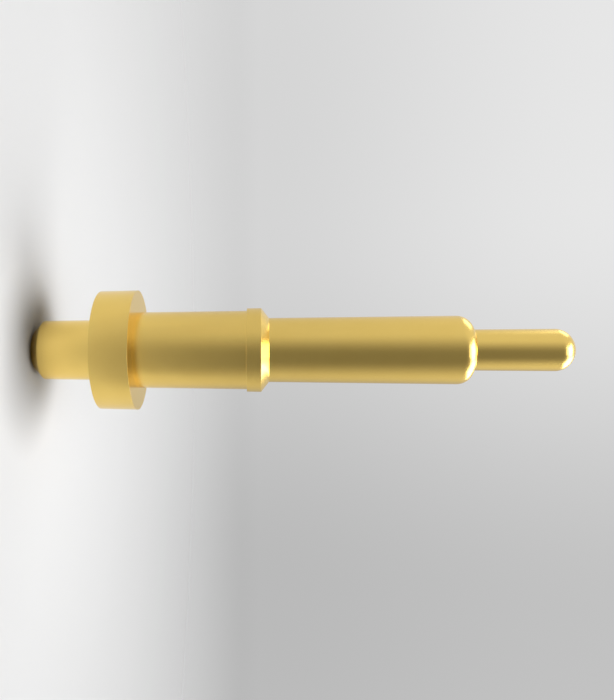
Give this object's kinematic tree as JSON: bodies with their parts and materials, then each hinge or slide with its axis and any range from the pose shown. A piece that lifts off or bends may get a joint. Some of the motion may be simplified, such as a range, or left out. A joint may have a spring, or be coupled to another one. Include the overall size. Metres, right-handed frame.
{
  "type": "pogo pin",
  "caption": "Spring-loaded contact pin: stepped round barrel with a solder tail, flange and press ring, and a round-ended plunger that slides down into it against a spring.",
  "frame": {"origin": "centre of the flat end of the solder tail, the lowest point of the pin", "axes": "+Z along the pin's axis, from the solder tail to the plunger's contact tip; X and Y are any two directions across it, because the pin is turned"},
  "size_m": [0.003, 0.003, 0.0122],
  "materials": {
    "barrel_gold": "satin gold plating on turned brass",
    "plunger_gold": "satin gold plating on turned brass, a little smoother than the barrel",
    "spring_steel": "drawn stainless spring wire"
  },
  "bodies": {
    "barrel_body": {"barrel": "barrel_gold", "spring": "spring_steel"},
    "plunger_body": {"plunger": "plunger_gold"}
  },
  "joints": [
    {"name": "plunger_slide", "type": "slide", "parent": "barrel_body", "child": "plunger_body", "axis": [0, 0, 1], "range_m": [-0.0014, 0], "stiffness_N_per_m": 460, "springref_m": 0.0006, "deforming": ["spring"]}
  ]
}
